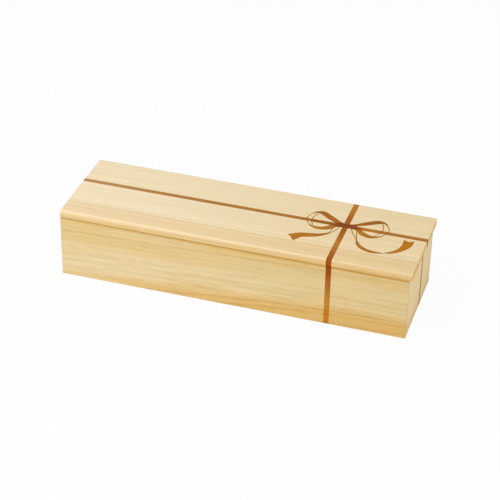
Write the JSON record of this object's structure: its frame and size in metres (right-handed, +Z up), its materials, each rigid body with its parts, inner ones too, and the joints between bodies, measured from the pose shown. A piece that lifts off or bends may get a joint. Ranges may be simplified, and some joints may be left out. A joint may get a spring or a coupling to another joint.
{
  "type": "wooden sweets box",
  "caption": "Long low pine box for sweets: a rebated body with a let-in bottom, and a lift-off lid that two battens locate inside the walls.",
  "frame": {"origin": "middle of the body's underside, which the closed box stands on", "axes": "+X to the right along the length, +Y to the back, +Z up; the side with the lid's rounded edge faces -Y"},
  "size_m": [0.3024, 0.092, 0.063],
  "materials": {
    "wall_wood": "matte",
    "lid_wood": "matte",
    "inner_wood": "matte",
    "pin_steel": "satin"
  },
  "bodies": {
    "box": {"front_board": "wall_wood", "back_board": "wall_wood", "left_end_board": "wall_wood", "right_end_board": "wall_wood", "bottom_panel": "inner_wood", "corner_pins": "pin_steel", "bottom_pins": "pin_steel"},
    "lid": {"lid_board": "lid_wood", "left_batten": "inner_wood", "right_batten": "inner_wood", "batten_pins": "pin_steel"}
  },
  "joints": [
    {"name": "lid_lift", "type": "slide", "parent": "box", "child": "lid", "axis": [0, 0, 1], "range_m": [0, 0.12]}
  ]
}
